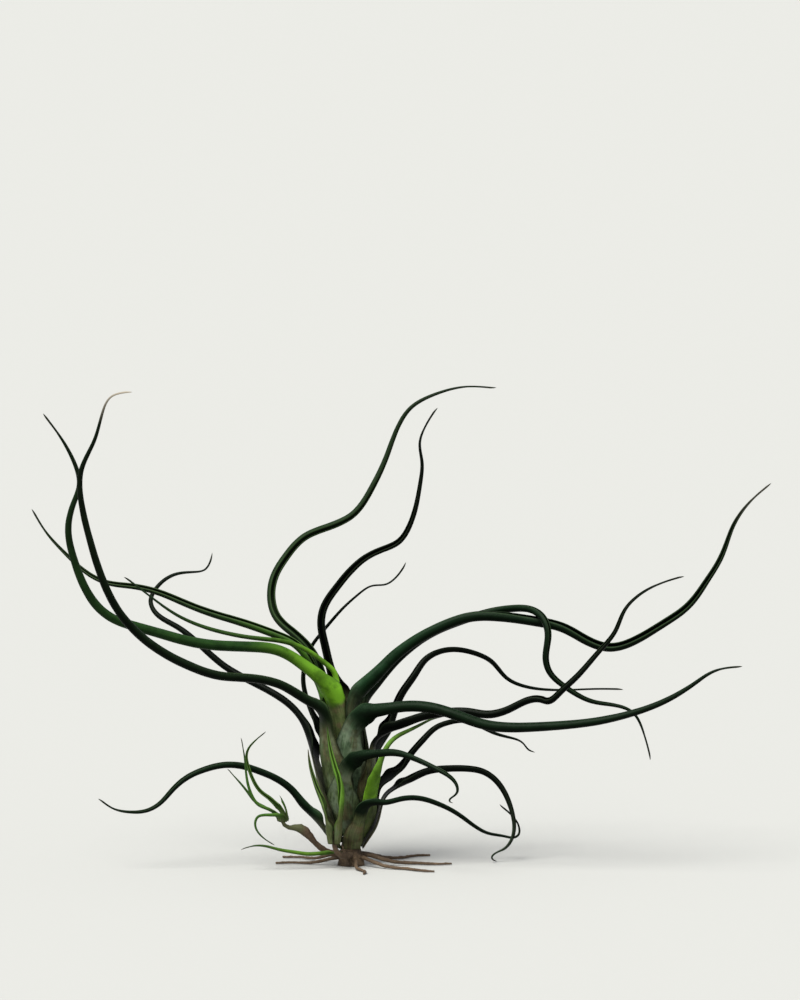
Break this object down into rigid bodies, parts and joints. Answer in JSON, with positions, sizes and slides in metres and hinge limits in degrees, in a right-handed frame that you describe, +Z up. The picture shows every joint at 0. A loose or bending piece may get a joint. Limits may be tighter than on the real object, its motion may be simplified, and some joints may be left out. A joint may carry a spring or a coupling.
{
  "type": "air plant",
  "caption": "Air plant: a narrow bottle-shaped bulb of clasping leaf sheaths with long, rolled, twisting blades, small side shoots and wiry roots.",
  "frame": {"origin": "centre of the flat cut underside of the stem, which is the plant's lowest level", "axes": "+Z up along the bulb, +X toward the longest leaves on the right in front view, +Y away from the viewer"},
  "size_m": [0.1762, 0.0687, 0.1183],
  "materials": {
    "leaf_dark": "satin dark green leaf with fine silvery scales",
    "leaf_mid": "satin mid-green leaf with fine silvery scales",
    "leaf_lime": "satin young leaf, yellow-green at its base",
    "pup_leaf": "satin bright green shoot leaf",
    "stem_wood": "rough dark brown stem and roots"
  },
  "bodies": {
    "root": {"stem_and_roots": "stem_wood", "leaf_front_low_loop": "leaf_dark", "leaf_right_hook": "leaf_dark", "leaf_right_short": "leaf_dark", "leaf_left_back_curl": "leaf_dark", "leaf_front_hook": "leaf_dark", "leaf_right_back_arch": "leaf_dark", "leaf_back_thin": "leaf_dark", "leaf_right_kinked": "leaf_dark", "leaf_left_front_long": "leaf_dark", "leaf_right_front_long": "leaf_dark", "leaf_back_s_curve": "leaf_dark", "leaf_right_drooping": "leaf_dark", "leaf_right_long": "leaf_dark", "leaf_upright_wavy": "leaf_dark", "leaf_left_low": "leaf_mid", "leaf_left_upper": "leaf_mid", "leaf_lime_wedge": "leaf_lime", "leaf_left_bright": "leaf_lime", "leaf_left_innermost": "leaf_lime", "front_pup_leaf_green": "pup_leaf", "front_pup_leaf_olive": "pup_leaf", "grass_pup_leaf_tall": "pup_leaf", "grass_pup_leaf_upright": "pup_leaf", "grass_pup_leaf_left": "pup_leaf", "grass_pup_leaf_stub": "pup_leaf", "grass_pup_leaf_curl": "pup_leaf", "base_leaf_low": "pup_leaf"}
  },
  "joints": []
}
